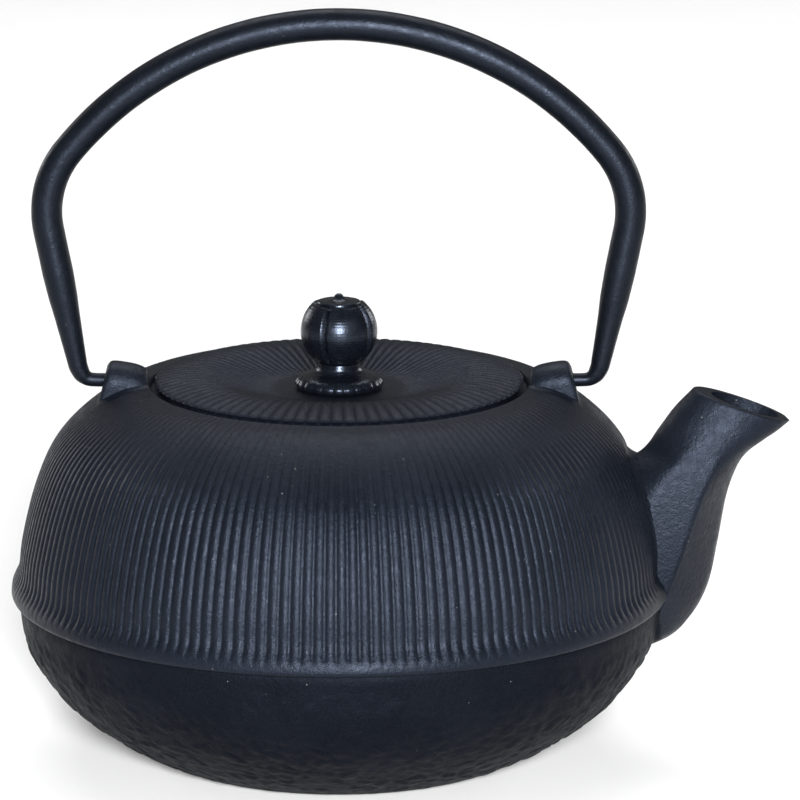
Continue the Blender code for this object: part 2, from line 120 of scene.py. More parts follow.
# Where the skins meet. A pair is a distance from the spout or an ear, or a height, and its effect
# grows from the first value to the second.
SPOUT_REACH = 8.0
SPOUT_FILLET = 4.0
FILLET_AT_GIRDLE = 0.25     # share of the fillet that is left down at the girdle
FILLET_RISE = (46.0, 62.0)
BOWL_FILLET = 1.8
RIBS_FROM_SPOUT = (3.4, 5.4)
RIBS_FROM_EAR = (0.6, 5.0)
PLATES_FROM_SPOUT = (0.5, 4.0)
SPOUT_VALLEY = 0.40         # depth of the plain valley round the spout's root
VALLEY_FROM_SPOUT = (6.0, 4.0)
VALLEY_RISE = (44.0, 50.0)
BEAD_HEIGHT = 0.30          # the rounded bead of iron between that valley and the spout
BEAD_AT = 2.5
BEAD_HALF = 1.8
BEAD_RISE = (48.0, 60.0)
BEAD_FALL = (75.0, 70.0)
EAR_FILLET = 1.6
EAR_REACH = 6.0

# Ears: x at the hole's height, top z, half-width and outward lean of each section.
EAR_BASE_Z = 88.0
EAR_CROWN = 5.0             # most height of the arch on top
EAR = [(47.6, 97.4, 2.6, 0.0), (48.4, 98.9, 3.6, 0.0), (49.4, 100.3, 4.8, 0.0), (51.4, 101.4, 5.6, 0.0),
       (54.4, 102.1, 6.0, 0.05), (58.2, 102.55, 6.0, 0.15), (59.9, 102.3, 5.8, 0.21),
       (60.6, 101.2, 5.3, 0.24)]
EAR_HOLE_R = 2.05
EAR_HOLE_Z = 97.6
EAR_HOLE_END = 51.8
EAR_HOLE_OPEN = 66.0
EAR_ROWS = 34

# Bail: the crown's arc, then a tighter bend into each leaning leg, the elbow and the pin.
CROWN_Z = 190.3
CROWN_R = 89.2
BEND_R = 25.0
BEND_START = math.radians(50.8)
LEG_LEAN = math.radians(11.2)
LEG_END_Z = 101.2
ELBOW = [(0.0, 0.0), (0.30, 0.60), (0.75, 0.93), (1.3, 1.0)]    # steps in and down, shares of its drop
PIN_END = 52.6
BAIL_RADII = [(97.6, 1.75), (99.0, 2.2), (101.2, 2.45), (108.0, 2.85), (114.0, 3.25), (119.0, 3.7),
              (126.0, 4.0), (150.0, 4.0), (190.0, 4.1)]    # z and radius
BAIL_WOBBLE = 0.05
BAIL_ROWS = 260             # in half of the bail
BAIL_COLUMNS = 40

# Lid and knob: profiles are (radius, z); the seat's are (radius, height above SEAT_Z).
LID_R = 47.65
LID_TOP = [(2.2, 95.4), (14.0, 95.5), (21.0, 96.2), (28.0, 98.1), (34.0, 99.6), (39.0, 99.8),
           (44.0, 99.0), (47.2, 98.1)]
LID_UNDER_Z = 95.7
LID_EDGE = [(47.4, 97.9), (LID_R, 97.6), (47.5, 97.3), (46.8, 97.0), (46.4, 96.5), (46.3, LID_UNDER_Z)]
LID_SKIRT = [(37.4, 95.7), (37.4, 89.9), (37.1, 89.6), (34.7, 89.6), (34.4, 89.9), (34.4, 95.4)]
LID_BELLY = [(27.0, 94.7), (20.0, 93.1), (13.0, 92.4), (2.2, 92.4)]
FLUTE_COUNT = 92
FLUTE_COLUMNS = 8
FLUTE_DEPTH = 0.50
FLUTE_START_R = 14.0
FLUTE_FULL_R = 25.0
FLUTED_EDGE_ROWS = 4

SEAT_PETALS = 24
PETAL_DEPTH = 0.24
PETAL_COLUMNS = 12
PETAL_START_R = 9.8
PETAL_FULL_R = 11.2
SEAT_R = 11.4
SEAT_Z = 95.7
SEAT_NECK = [(10.8, 2.5), (10.0, 3.1), (8.4, 3.7), (6.8, 4.2), (5.8, 5.1), (5.45, 6.6)]
SEAT_EDGE = [(11.05, 2.1), (11.3, 1.75), (SEAT_R, 1.3), (11.3, 0.7), (11.0, 0.25), (10.6, 0.0), (2.1, 0.0)]
KNOB_R = 9.9
KNOB_Z = 110.6
KNOB_FOOT_Z = 102.6
KNOB_FLAT_Z = 118.1
KNOB_GROOVES = (-112.8, -34.2, 37.0, 108.0, 178.0)    # degrees about Z
GROOVE_HALF = 6.5           # half the width of a groove, in degrees
GROOVE_DEPTH = 0.85
TURNED_RING = 0.02          # height and rate of the knob's fine turned rings
TURNED_RING_RATE = 9.0
KNOB_COLUMNS = 360
CAP = [(5.0, 118.55), (5.45, 118.42), (5.6, 118.1), (5.6, 117.6)]
NIB = [(0.05, 120.4), (0.6, 120.3), (1.0, 119.95), (1.35, 119.45), (1.8, 119.0), (2.5, 118.7),
       (3.4, 118.55)]
KNOB_BORE = [(2.0, KNOB_FOOT_Z), (2.0, 109.0), (0.3, 109.0)]

# Infuser and screw.
WIRE_R = 0.17
FLOOR_WIRE_R = 0.13
WIRE_SIDES = 5
WEAVE_R = 39.45
WEAVE_PITCH = 1.6
WALL_TOP_Z = 93.8
WALL_BOTTOM_Z = 39.1
WALL_UPRIGHTS = 156
MESH_FLOOR_R = 38.2
MESH_FLOOR_Z = 38.35
BASKET_RIM = [(40.2, 95.15), (40.35, 95.3), (44.8, 95.3), (45.1, 95.2), (45.2, 94.9), (45.1, 94.6),
              (44.8, 94.5), (41.3, 94.5), (41.05, 94.4), (41.0, 94.2), (41.0, 88.4), (41.15, 87.9),
              (41.0, 87.4), (41.0, 86.2), (40.8, 86.0), (40.4, 86.0), (40.2, 86.2), (40.2, 92.0)]
BASKET_BAND = [(40.3, 44.0), (40.8, 44.0), (41.0, 43.8), (41.0, 37.5), (40.8, 37.1), (40.4, 37.0),
               (36.6, 37.0), (36.4, 37.2), (36.4, 37.6), (36.6, 37.8), (40.0, 37.8), (40.2, 38.0),
               (40.2, 43.8)]
WASHER = [(2.2, 92.1), (4.4, 92.1), (4.6, 91.95), (4.6, 91.45), (4.4, 91.3), (2.2, 91.3)]
SCREW = [(0.1, 108.0), (1.2, 108.0), (1.65, 107.5), (1.65, 91.0), (3.2, 91.0), (3.4, 90.8), (3.4, 89.7),
         (3.1, 89.2), (2.4, 88.85), (0.1, 88.8)]
SLOT_SIZE = (10.2, 0.9, 2.0)
SLOT_Z = 88.8
FASTENER_COLUMNS = 64

# The view, in metres and radians.
VIEW_DISTANCE = 1.5
VIEW_HEIGHT_ANGLE = math.radians(14.74)
VIEW_AIM = Vector((0.0157, 0.0, 0.0498))
VIEW_DIP = math.radians(13.161)
VIEW_LENS = 259.875

# The studio: name, place, aim and size of each softbox in metres, and its power in watts.
SKY = 0.15
SOFTBOXES = [
    ("key", (0.12, -1.9, 0.60), (0.0, 0.0, 0.07), (0.44, 0.40), 118.0),
    ("backdrop", (0.0, 0.75, 1.45), (0.0, 0.78, 0.0), (1.6, 1.0), 20.0),
    ("left", (-1.3, -1.3, 1.0), (0.0, 0.0, 0.06), (0.8, 0.8), 1.5),
    ("right", (1.4, -1.2, 1.0), (0.0, 0.0, 0.06), (0.8, 0.8), 1.5),
    ("behind_left", (-1.6, 1.5, 0.55), (0.0, 0.0, 0.05), (0.8, 0.6), 9.0),
    ("behind_right", (1.6, 1.5, 0.55), (0.0, 0.0, 0.05), (0.8, 0.6), 9.0),
]

# Paint colours: dark and light patches, and the pale colour of worn edges, which also serves as a painted
# highlight for the key light's glints on raised edges. The gloss over them has a cold tint.
POT_PAINT = ((0.0022, 0.0030, 0.0052), (0.0036, 0.0047, 0.0076), (0.012, 0.015, 0.021))
# The bowl's paint is darker than the pot's: painted shade for the less lit lower half, beside its duller
# cast.
SHADED_BOWL_PAINT = ((0.0013, 0.0018, 0.0032), (0.0022, 0.0029, 0.0048), (0.009, 0.011, 0.016))
SMOOTH_PAINT = ((0.0012, 0.0016, 0.0027), (0.0020, 0.0026, 0.0042), (0.009, 0.011, 0.015))
GLOSS_TINT = (0.62, 0.74, 1.0)
SPECK_COLOUR = (0.20, 0.20, 0.19)
STEEL = ((0.52, 0.52, 0.51), (0.68, 0.68, 0.67))
PAPER = ((0.80, 0.80, 0.80), (0.83, 0.83, 0.83))

# Sizes of the materials' patterns, in features to a metre.
PATCH_SCALE = 55.0
SAND_SCALE = 2600.0
PIT_SCALE = 900.0
WEAR_AND_GLINT_SCALE = 380.0
GLOSS_SCALE = 420.0
SPECK_SCALE = 300.0
BRUSH_SCALE = 420.0
BRUSH_STRETCH = 14.0
PAPER_SCALE = 6.0


# ---------------------------------------------------------------- mesh tools

def smoothstep(low, high, value):
    part = np.clip((value - low) / (high - low), 0.0, 1.0)
    return part * part * (3.0 - 2.0 * part)


def smooth_line(points, count):
    """Evenly spaced points on a Catmull-Rom curve through the given ones."""
    knots = np.array(points, float)
    knots = np.concatenate([2 * knots[:1] - knots[1:2], knots, 2 * knots[-1:] - knots[-2:-1]])
    t = np.linspace(0.0, 1.0, 24, endpoint=False)[:, None]
    spans = []
    for a, b, c, d in zip(knots, knots[1:], knots[2:], knots[3:]):
        spans.append(0.5 * (2 * b + (c - a) * t + (2 * a - 5 * b + 4 * c - d) * t ** 2
                            + (3 * b - a - 3 * c + d) * t ** 3))
    return resample(np.concatenate(spans + [knots[-2:-1]]), count)


def resample(line, count):
    """The same line with evenly spaced points."""
    run = np.concatenate([[0.0], np.cumsum(np.linalg.norm(np.diff(line, axis=0), axis=1))])
    at = np.linspace(0.0, run[-1], count)
    return np.stack([np.interp(at, run, column) for column in line.T], axis=1)


def even_angles(count):
    return np.arange(count) * 2 * math.pi / count


def outward(profile):
    """Unit normals of a profile that runs down the outer side."""
    slope = np.gradient(profile, axis=0)
    normal = np.stack([-slope[:, 1], slope[:, 0]], axis=1)
    return normal / np.maximum(np.linalg.norm(normal, axis=1, keepdims=True), 1e-9)


def revolve(profile, angles, lift=0.0):
    """A grid of points: a row for each (r, z), a column for each angle, raised along the normal by lift."""
    profile = np.array(profile, float)
    normal = outward(profile)
    lift = np.broadcast_to(lift, (len(profile), len(angles)))
    radius = profile[:, :1] + normal[:, :1] * lift
    height = profile[:, 1:] + normal[:, 1:] * lift
    return np.stack([radius * np.cos(angles), radius * np.sin(angles), height], axis=2)


def skin(name, grid, loop=False):
    """A closed object over a grid whose columns go all the way round. With loop, its rows close too."""
    rows, cols = grid.shape[:2]
    index = np.arange(rows * cols).reshape(rows, cols)
    upper = index if loop else index[:-1]
    lower = np.roll(index, -1, axis=0) if loop else index[1:]
    quads = np.stack([upper, lower, np.roll(lower, -1, axis=1), np.roll(upper, -1, axis=1)], axis=2)
    faces = quads.reshape(-1, 4).tolist()
    points = grid.reshape(-1, 3)
    if not loop:
        points = np.concatenate([points, [grid[0].mean(axis=0), grid[-1].mean(axis=0)]])
        first, last = index[0], index[-1]
        faces += [(rows * cols, a, b) for a, b in zip(first, np.roll(first, -1))]
        faces += [(rows * cols + 1, b, a) for a, b in zip(last, np.roll(last, -1))]
    return solid(name, points, faces)


def solid(name, points, faces):
    """A closed object from points in mm, with its faces turned out."""
    mesh = bpy.data.meshes.new(name)
    mesh.from_pydata((np.array(points) * MM).tolist(), [], [list(map(int, face)) for face in faces])
    shape = bmesh.new()
    shape.from_mesh(mesh)
    bmesh.ops.recalc_face_normals(shape, faces=shape.faces)
    shape.to_mesh(mesh)
    shape.free()
    thing = bpy.data.objects.new(name, mesh)
    bpy.context.scene.collection.objects.link(thing)
    return thing


def combine(target, others, operation):
    """Join the others to the target, or cut them out of it."""
    for other in others:
        modifier = target.modifiers.new(other.name, "BOOLEAN")
        modifier.solver = "MANIFOLD"
        modifier.operation = operation
        modifier.object = other
    bpy.context.view_layer.update()
    shown = target.evaluated_get(bpy.context.evaluated_depsgraph_get())
    mesh = bpy.data.meshes.new_from_object(shown)
    target.modifiers.clear()
    target.data = mesh
    for other in others:
        bpy.data.objects.remove(other)
    return target


def finish_piece(thing, body, materials, nodes=(), crease=50.0):
    """Shade a piece smooth up to its creases, give it its materials and hand it to the frame."""
    thing.data.shade_smooth()
    thing.data.set_sharp_from_angle(angle=math.radians(crease))
    thing.data.materials.clear()
    for material in materials:
        thing.data.materials.append(material)
    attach(thing, body)
    if nodes:
        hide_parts(*nodes)
    return thing


def tree_of(grid):
    """A search tree over a lofted grid, ends open, in mm, with its faces turned out."""
    rows, cols = grid.shape[:2]
    index = np.arange(rows * cols).reshape(rows, cols)
    after = np.roll(index, -1, axis=1)
    quads = np.stack([index[:-1], index[1:], after[1:], after[:-1]], axis=2).reshape(-1, 4)
    middle = rows // 2
    along = grid[middle + 1, 0] - grid[middle, 0]
    across = grid[middle, 1] - grid[middle, 0]
    out = grid[middle, 0] - grid[middle].mean(axis=0)
    if np.dot(np.cross(along, across), out) < 0:
        quads = quads[:, ::-1]
    return BVHTree.FromPolygons(grid.reshape(-1, 3).tolist(), quads.tolist())


def gap_to(grid, normals, shape, reach):
    """For each point of a grid: its distance from a shape, at most reach and negative inside, and how
    squarely the shape's nearest wall stands on the grid, from 0 to 1."""
    points = grid.reshape(-1, 3)
    normals = normals.reshape(-1, 3)
    tree = tree_of(shape)
    corners = shape.reshape(-1, 3)
    gap = np.full(len(points), float(reach))
    square = np.zeros(len(points))
    near = np.all((points > corners.min(axis=0) - reach) & (points < corners.max(axis=0) + reach), axis=1)
    for i in np.nonzero(near)[0]:
        point = Vector(points[i])
        place, normal, _, distance = tree.find_nearest(point, reach)
        if place is not None:
            gap[i] = math.copysign(distance, (point - place).dot(normal))
            square[i] = 1.0 - max(normal.dot(Vector(normals[i])), 0.0)
    return gap.reshape(grid.shape[:2]), square.reshape(grid.shape[:2])


def turned_normals(profile, angles):
    """The normals of a revolved profile at each of its grid points."""
    normal = outward(profile)
    across = normal[:, :1] * np.cos(angles)
    deep = normal[:, :1] * np.sin(angles)
    return np.stack([across, deep, np.broadcast_to(normal[:, 1:], across.shape)], axis=2)


def fillet(gap, radius):
    """Height of a soft fillet at a distance from the wall it meets; past the wall it sinks again."""
    share = 1.0 - np.clip(gap, 0.0, radius) / radius
    height = 0.5 * radius * share ** 2
    return height - np.clip(-gap, 0.0, height)


def bead(gap, z):
    """Height of the bead of iron that runs down beside the spout's root."""
    across = np.clip(np.abs(gap - BEAD_AT) / BEAD_HALF, 0.0, 1.0)
    level = smoothstep(*BEAD_RISE, z) * smoothstep(*BEAD_FALL, z)
    return BEAD_HEIGHT * (1.0 - across ** 2) ** 2 * level[:, None]


# ---------------------------------------------------------------- the pot

def spout_half_width(along, crease, roundness):
    """Half-width across the spout, from 0 to 1: a rounded back, flat sides, a crease and a nose."""
    to_crease = np.clip(along / crease, 0.0, 1.0)
    back = np.sin(np.minimum(to_crease / 0.55, 1.0) * math.pi / 2) ** 0.9
    flat = 1.0 - 0.03 * np.clip((to_crease - 0.55) / 0.45, 0.0, 1.0) ** 2
    to_front = np.clip((1.0 - along) / (1.0 - crease), 0.0, 1.0)
    round_nose = np.sqrt(np.clip(1.0 - (1.0 - to_front) ** 2, 0.0, 1.0))
    nose = 0.97 * (roundness * round_nose + (1.0 - roundness) * to_front)
    shield = np.where(along < crease, back * flat, nose)
    egg = (2.0 * np.sqrt(np.clip(along * (1.0 - along), 0.0, 1.0))) ** 0.9
    sharp = smoothstep(1.0, 0.6, roundness)
    return egg * (1.0 - sharp) + shield * sharp


def spout_grid():
    """Sections of the spout from root to lip, with a column on each crease."""
    sections = []
    back_part = 1.0 - np.cos(np.linspace(0.0, 1.0, 27) * math.pi / 2)
    nose_part = np.cos(np.linspace(0.0, 1.0, 23) * math.pi / 2)
    for back_x, back_z, front_x, front_z, width, crease, roundness in smooth_line(SPOUT, SPOUT_ROWS):
        along = np.concatenate([crease * back_part[:-1], 1.0 - (1.0 - crease) * nose_part])
        side = width * spout_half_width(along, crease, roundness)
        side[-1] = 0.0
        x = back_x + (front_x - back_x) * along
        z = back_z + (front_z - back_z) * along
        near = np.stack([x, -side, z], axis=1)
        far = np.stack([x, side, z], axis=1)[::-1][1:-1]
        sections.append(np.concatenate([near, far]))
    return np.array(sections + rounded_lip(sections))


def rounded_lip(sections):
    """A few rings that round off the outer edge of the mouth."""
    last = sections[-1]
    middle = last.mean(axis=0)
    rise = middle - sections[-2].mean(axis=0)
    rise /= np.linalg.norm(rise)
    return [middle + (last - middle) * (1.0 - shrink) + rise * height for shrink, height in LIP_ROUND]


def channel_grid():
    """The way out through the spout, oval all along."""
    angle = even_angles(CHANNEL_COLUMNS)
    along = 0.5 - 0.5 * np.cos(angle)
    across = np.sign(np.sin(angle)) * np.abs(np.sin(angle)) ** 0.9
    sections = []
    for back_x, back_z, front_x, front_z, width in smooth_line(CHANNEL, CHANNEL_ROWS):
        sections.append(np.stack([back_x + (front_x - back_x) * along, width * across,
                                  back_z + (front_z - back_z) * along], axis=1))
    return np.array(sections)


def ear_grid(side):
    """Arches across one ear, from inside the mouth's rim to its leaning outer end."""
    angle = np.linspace(math.pi, 0.0, 25)
    sections = []
    for x, top, width, lean in smooth_line(EAR, EAR_ROWS):
        rise = min(width, EAR_CROWN)
        across = np.concatenate([[-width], width * np.cos(angle), [width]])
        height = np.concatenate([[EAR_BASE_Z], top - rise + rise * np.sin(angle), [EAR_BASE_Z]])
        sections.append(np.stack([side * (x - lean * (height - EAR_HOLE_Z)), across, height], axis=1))
    return np.array(sections)


def rib_columns():
    """Angles of the shoulder's columns, and the rib's height from 0 to 1 at each."""
    phase = np.tile(RIB_COLUMNS, RIB_COUNT)
    angles = (np.repeat(np.arange(RIB_COUNT), len(RIB_COLUMNS)) + phase) * 2 * math.pi / RIB_COUNT
    from_groove = np.minimum(phase, 1.0 - phase)
    height = smoothstep(0.05, 0.27, from_groove) * (0.84 + 0.16 * np.sin(math.pi * from_groove))
    return angles, height


def shoulder_grid(spout, ears):
    """The ribbed upper half down to the girdle, with a valley round the spout and fillets at the ears."""
    profile = np.concatenate([smooth_line(SHOULDER, SHOULDER_ROWS), smooth_line(GIRDLE, GIRDLE_ROWS)])
    angles, height = rib_columns()
    z = profile[:, 1]
    depth = RIB_DEPTH_AT_RIM + (RIB_DEPTH - RIB_DEPTH_AT_RIM) * smoothstep(RIM_Z, RIB_FULL_Z, z)
    depth = depth * np.sqrt(np.clip((z - RIB_FOOT_Z) / 1.6, 0.0, 1.0))
    plain = revolve(profile, angles)
    normals = turned_normals(profile, angles)
    gap, square = gap_to(plain, normals, spout, SPOUT_REACH)
    ear_gap, ear_square = nearest_ear(plain, normals, ears)
    fade = smoothstep(*RIBS_FROM_SPOUT, gap) * smoothstep(*RIBS_FROM_EAR, ear_gap)
    valley = SPOUT_VALLEY * smoothstep(*VALLEY_FROM_SPOUT, gap) * smoothstep(*VALLEY_RISE, z)[:, None]
    lift = -depth[:, None] * (1.0 - height) * fade - valley
    share = FILLET_AT_GIRDLE + (1.0 - FILLET_AT_GIRDLE) * smoothstep(*FILLET_RISE, z)
    web = fillet(gap, SPOUT_FILLET) * square * share[:, None]
    lift = lift + bead(gap, z) + web + fillet(ear_gap, EAR_FILLET) * ear_square
    return np.concatenate([revolve(profile, angles, lift), revolve([(80.0, 41.4), (60.0, 41.3)], angles)])


def nearest_ear(grid, normals, ears):
    (gap, square), (other_gap, other_square) = [gap_to(grid, normals, ear, EAR_REACH) for ear in ears]
    return np.minimum(gap, other_gap), np.where(gap < other_gap, square, other_square)


def hammered(points):
    """Height of the cast pebbles at each point: rounded plates with sunk borders."""
    noise.seed_set(NOISE_SEED)
    height = np.zeros(len(points))
    for i, point in enumerate(points):
        place = Vector(point) / PLATE_SIZE
        bend = noise.noise_vector(place * 0.7) * 0.35
        distance, cells = noise.voronoi(place + bend)
        plate = float(smoothstep(0.0, 0.38, distance[1] - distance[0]))
        level = noise.cell(cells[0] * 9.0)
        rough = PLATE_ROUGH * noise.noise(place * 2.3)
        height[i] = PLATE_HEIGHT * plate + PLATE_STEP * level * plate + rough - PLATE_SINK
    return height


def bowl_grid(spout):
    """The pebbled lower half and its foot."""
    profile = smooth_line(BOWL, BOWL_ROWS)
    angles = even_angles(BOWL_COLUMNS)
    plain = revolve(profile, angles)
    z = profile[:, 1]
    strength = (0.12 + 0.88 * smoothstep(PLATE_SMOOTH_Z, PLATE_FULL_Z, z)) * smoothstep(0.3, 3.0, z)
    rough = hammered(plain.reshape(-1, 3)).reshape(plain.shape[:2])
    gap, square = gap_to(plain, turned_normals(profile, angles), spout, SPOUT_REACH)
    lift = rough * strength[:, None] * smoothstep(*PLATES_FROM_SPOUT, gap)
    lift = lift + fillet(gap, BOWL_FILLET) * square
    return np.concatenate([revolve([(60.0, 42.6), (82.4, 42.5)], angles), revolve(profile, angles, lift)])


def cavity_grid():
    """The space inside the pot, up through the stepped mouth that holds the basket and the lid."""
    mouth = [
        (0.5, CUT_TOP_Z),
        (SEAT_WALL_R + 1.8, CUT_TOP_Z),
        (SEAT_WALL_R + 0.7, RIM_Z + 0.25),
        (SEAT_WALL_R + 0.35, RIM_Z - 0.1),
        (SEAT_WALL_R + 0.1, RIM_Z - 0.4),
        (SEAT_WALL_R, RIM_Z - 0.8),
        (SEAT_WALL_R, SEAT_WALL_Z),
        (BASKET_WALL_R, SEAT_WALL_Z),
        (BASKET_WALL_R, BASKET_WALL_Z),
        (THROAT_R, BASKET_WALL_Z),
        (THROAT_R, THROAT_Z),
    ]
    return revolve(np.concatenate([mouth, smooth_line(CAVITY, 44)]), even_angles(TURNED_COLUMNS))


def rod(name, radius, start, end, steps=48):
    """A round bar along X, with its ends at start and end."""
    angle = even_angles(steps)
    ring = np.stack([np.zeros(steps), radius * np.cos(angle), radius * np.sin(angle)], axis=1)
    return skin(name, np.stack([ring + start, ring + end]))


def make_pot(iron, enamel, dull_shaded_iron):
    """The casting: its skins are joined, then the cavity, the channel and the ears' holes are cut out."""
    spout = spout_grid()
    ears = [ear_grid(-1), ear_grid(1)]
    pot = skin("pot_casting", shoulder_grid(spout, ears))
    joined = [
        skin("bowl", bowl_grid(spout)),
        skin("spout", spout),
        skin("ear_left", ears[0]),
        skin("ear_right", ears[1]),
    ]
    combine(pot, joined, "UNION")
    cuts = [skin("cavity", cavity_grid()), skin("channel", channel_grid())]
    for side in (-1, 1):
        start = np.array([side * EAR_HOLE_END, 0.0, EAR_HOLE_Z])
        end = np.array([side * EAR_HOLE_OPEN, 0.0, EAR_HOLE_Z])
        cuts.append(rod("ear_hole", EAR_HOLE_R, start, end))
    combine(pot, cuts, "DIFFERENCE")
    finish_piece(pot, "pot", [iron, enamel, dull_shaded_iron], ["pot_body"])
    paint_regions(pot)
    return pot


def paint_regions(pot):
    """The glossier enamel goes on every face inside the cavity's skin, and the dull cast, painted darker as
    shade, on the bowl.
    """
    line = smooth_line(CAVITY, 60)[::-1]
    count = len(pot.data.polygons)
    centre = np.zeros(count * 3)
    pot.data.polygons.foreach_get("center", centre)
    centre = centre.reshape(-1, 3) / MM
    radius = np.hypot(centre[:, 0], centre[:, 1])
    wall = np.interp(centre[:, 2], line[:, 1], line[:, 0])
    inside = (radius < wall + 0.3) & (centre[:, 2] > CAVITY_FLOOR_Z) & (centre[:, 2] < THROAT_Z + 0.5)
    bowl = ~inside & (centre[:, 2] < BOWL_TOP_Z) & (radius < BOWL_R)
    pot.data.polygons.foreach_set("material_index", (inside + 2 * bowl).astype(np.int32))


# ---------------------------------------------------------------- lid, knob and bail

def make_lid(iron):
    """The fluted disc with its crest and dished middle, and the skirt and belly below it."""
    top = smooth_line(LID_TOP, 54)
    belly = smooth_line(LID_BELLY, 14)
    profile = np.concatenate([top, LID_EDGE, LID_SKIRT, belly])
    angles = even_angles(FLUTE_COUNT * FLUTE_COLUMNS)
    radius = profile[:, 0]
    wave = np.abs(np.cos(FLUTE_COUNT * angles / 2)) ** 0.8
    on_top = np.arange(len(profile)) < len(top) + FLUTED_EDGE_ROWS
    fluted = smoothstep(FLUTE_START_R, FLUTE_FULL_R, radius) * on_top
    lift = -FLUTE_DEPTH * fluted[:, None] * (1.0 - wave)
    lid = skin("lid_casting", revolve(profile, angles, lift), loop=True)
    return finish_piece(lid, "lid", [iron], ["lid"])


def make_knob_seat(iron):
    """A petalled disc that sweeps up into the neck under the knob."""
    angles = even_angles(SEAT_PETALS * PETAL_COLUMNS)
    petal = np.abs(np.cos(SEAT_PETALS * angles / 2)) ** 0.7 - 1.0
    neck = smooth_line([(r, SEAT_Z + height) for r, height in reversed(SEAT_NECK)], 18)
    top = np.array([(2.1, neck[0, 1]), (neck[0, 0] - 0.25, neck[0, 1])])
    edge = np.array([(r, SEAT_Z + height) for r, height in SEAT_EDGE])
    profile = np.concatenate([top, neck, edge])
    scallop = smoothstep(PETAL_START_R, PETAL_FULL_R, profile[:, 0])
    lift = PETAL_DEPTH * scallop[:, None] * petal
    seat = skin("knob_seat_casting", revolve(profile, angles, lift), loop=True)
    return finish_piece(seat, "lid", [iron], ["knob_seat"])


def knob_grooves(angles):
    """Depth of the knob's upright grooves at each angle, from 0 to 1."""
    groove = np.zeros(len(angles))
    for at in KNOB_GROOVES:
        away = np.abs((np.degrees(angles) - at + 180.0) % 360.0 - 180.0)
        groove = np.maximum(groove, np.clip(1.0 - away / GROOVE_HALF, 0.0, 1.0))
    return groove ** 1.2


def make_knob(iron):
    """A grooved ball with fine turned rings, a flat cap and a nib."""
    low = math.asin((KNOB_FOOT_Z - KNOB_Z) / KNOB_R)
    high = math.asin((KNOB_FLAT_Z - KNOB_Z) / KNOB_R)
    rise = np.linspace(high, low, 72)[1:]
    ball = np.stack([KNOB_R * np.cos(rise), KNOB_Z + KNOB_R * np.sin(rise)], axis=1)
    above = np.array(NIB + CAP)
    profile = np.concatenate([above, ball, KNOB_BORE])
    angles = even_angles(KNOB_COLUMNS)
    on_ball = np.zeros(len(profile))
    on_ball[len(above):len(above) + len(ball)] = smoothstep(KNOB_FOOT_Z, KNOB_FOOT_Z + 1.5, ball[:, 1])
    rings = TURNED_RING * np.sin(profile[:, 1] * TURNED_RING_RATE) * on_ball
    lift = -GROOVE_DEPTH * on_ball[:, None] * knob_grooves(angles) + rings[:, None]
    knob = skin("knob_casting", revolve(profile, angles, lift))
    return finish_piece(knob, "lid", [iron], ["knob"], crease=38.0)


def bail_line():
    """Centreline of the whole bail in the XZ plane, from pin to pin."""
    crown_z = CROWN_Z - CROWN_R
    reach = CROWN_R - BEND_R
    shoulder = (reach * math.sin(BEND_START), crown_z + reach * math.cos(BEND_START))
    crown = [(CROWN_R * math.sin(a), crown_z + CROWN_R * math.cos(a))
             for a in np.linspace(0.0, BEND_START, 60)]
    bend = [(shoulder[0] + BEND_R * math.sin(a), shoulder[1] + BEND_R * math.cos(a))
            for a in np.linspace(BEND_START, math.pi / 2 + LEG_LEAN, 40)][1:]
    top_x, top_z = bend[-1]
    foot_x = top_x - (top_z - LEG_END_Z) * math.tan(LEG_LEAN)
    drop = LEG_END_Z - EAR_HOLE_Z
    elbow = smooth_line([(foot_x - inward * drop, LEG_END_Z - down * drop) for inward, down in ELBOW], 14)
    half = np.concatenate([crown, bend, elbow, [(PIN_END, EAR_HOLE_Z)]])
    half = resample(half, BAIL_ROWS)
    return np.concatenate([half[::-1] * (-1, 1), half[1:]])


def make_bail(iron):
    """A slightly uneven round bar along the bail's line, thinner towards its feet."""
    line = bail_line()
    along = np.gradient(line, axis=0)
    along /= np.linalg.norm(along, axis=1, keepdims=True)
    across = np.stack([-along[:, 1], along[:, 0]], axis=1)
    table = np.array(BAIL_RADII)
    radius = np.interp(line[:, 1], table[:, 0], table[:, 1])
    angle = even_angles(BAIL_COLUMNS)
    rings = []
    for (x, z), (nx, nz), r in zip(line, across, radius):
        wobble = BAIL_WOBBLE * noise.noise(Vector((x, 3.0, z)) / 9.0)
        turn = (r + wobble) * np.cos(angle)
        rings.append(np.stack([x + nx * turn, (r + wobble) * np.sin(angle), z + nz * turn], axis=1))
    bail = skin("bail_bar", np.array(rings))
    return finish_piece(bail, "bail", [iron], ["bail_handle"])


# ---------------------------------------------------------------- infuser and screw

def wire(path, first, second, radius, closed=False):
    """Points and faces of one wire: a tube about path, its section in the first and second directions."""
    angle = even_angles(WIRE_SIDES)[None, :, None]
    ring = first[:, None, :] * np.cos(angle) + second[:, None, :] * np.sin(angle)
    points = (path[:, None, :] + radius * ring).reshape(-1, 3)
    index = np.arange(len(points)).reshape(len(path), WIRE_SIDES)
    upper = index if closed else index[:-1]
    lower = np.roll(index, -1, axis=0) if closed else index[1:]
    quads = np.stack([upper, lower, np.roll(lower, -1, axis=1), np.roll(upper, -1, axis=1)], axis=2)
    faces = [list(q) for q in quads.reshape(-1, 4)]
    if not closed:
        faces += [list(index[0]), list(index[-1][::-1])]
    return points, faces


def bundle(name, wires):
    """Many wires as one object."""
    points, faces, count = [], [], 0
    for wire_points, wire_faces in wires:
        points.append(wire_points)
        faces += [[corner + count for corner in face] for face in wire_faces]
        count += len(wire_points)
    return solid(name, np.concatenate(points), faces)


